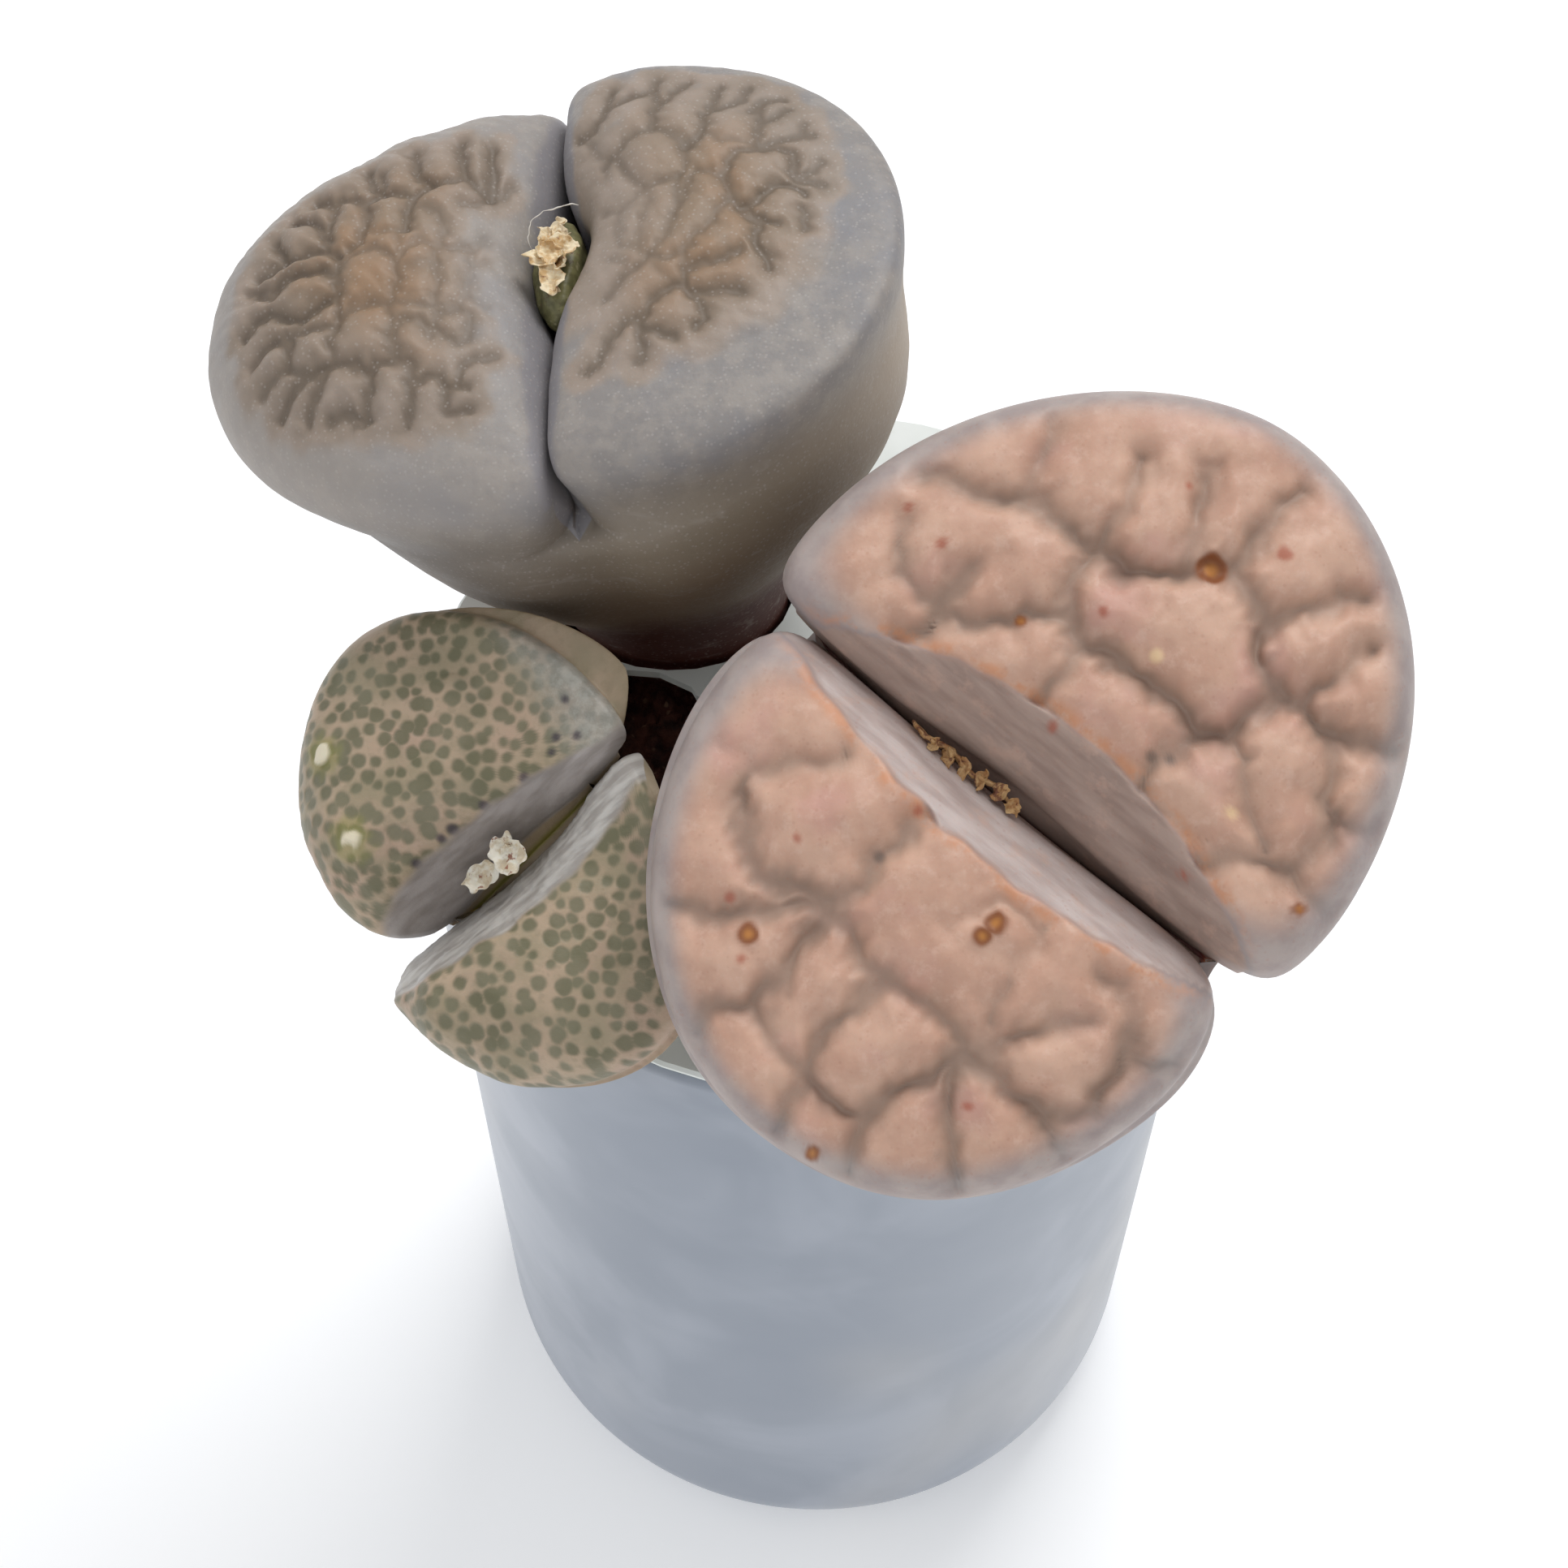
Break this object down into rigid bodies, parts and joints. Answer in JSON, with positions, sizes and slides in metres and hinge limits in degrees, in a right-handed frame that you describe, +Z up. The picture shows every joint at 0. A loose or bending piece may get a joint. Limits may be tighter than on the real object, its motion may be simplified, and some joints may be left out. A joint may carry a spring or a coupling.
{
  "type": "potted lithops",
  "caption": "Living-stone succulents with cleft, patterned tops, growing clustered and leaning from a small plain cylindrical ceramic pot.",
  "frame": {"origin": "centre of the pot's flat foot", "axes": "+X to the viewer's right, +Y away from the viewer, +Z up along the pot's axis"},
  "size_m": [0.0662, 0.0645, 0.1075],
  "materials": {
    "pot_glaze": "smooth pale bluish-grey glaze, soft gloss",
    "cover_sheet": "smooth pale greenish-white sheet",
    "soil": "dark reddish-brown crumbly soil",
    "skin_grey": "grey-brown skin with dark branching grooves and faint orange-brown windows",
    "skin_pink": "peach-pink islands with grey-brown channels, grey-mauve rim",
    "skin_olive": "peach-beige skin with dark grey-green dots, grey wrinkled rim",
    "capsule_green": "dull green seed capsule",
    "dried_petals": "dry crumpled tan and cream petals",
    "dried_petals_pale": "dry curled cream-white petals"
  },
  "bodies": {
    "root": {"pot": "pot_glaze", "cover": "cover_sheet", "soil": "soil", "lithops_back": "skin_grey", "lithops_right": "skin_pink", "lithops_left": "skin_olive", "seed_capsule": "capsule_green", "dried_flower_back": "dried_petals", "dried_flower_right": "dried_petals", "dried_flower_left": "dried_petals_pale"}
  },
  "joints": []
}
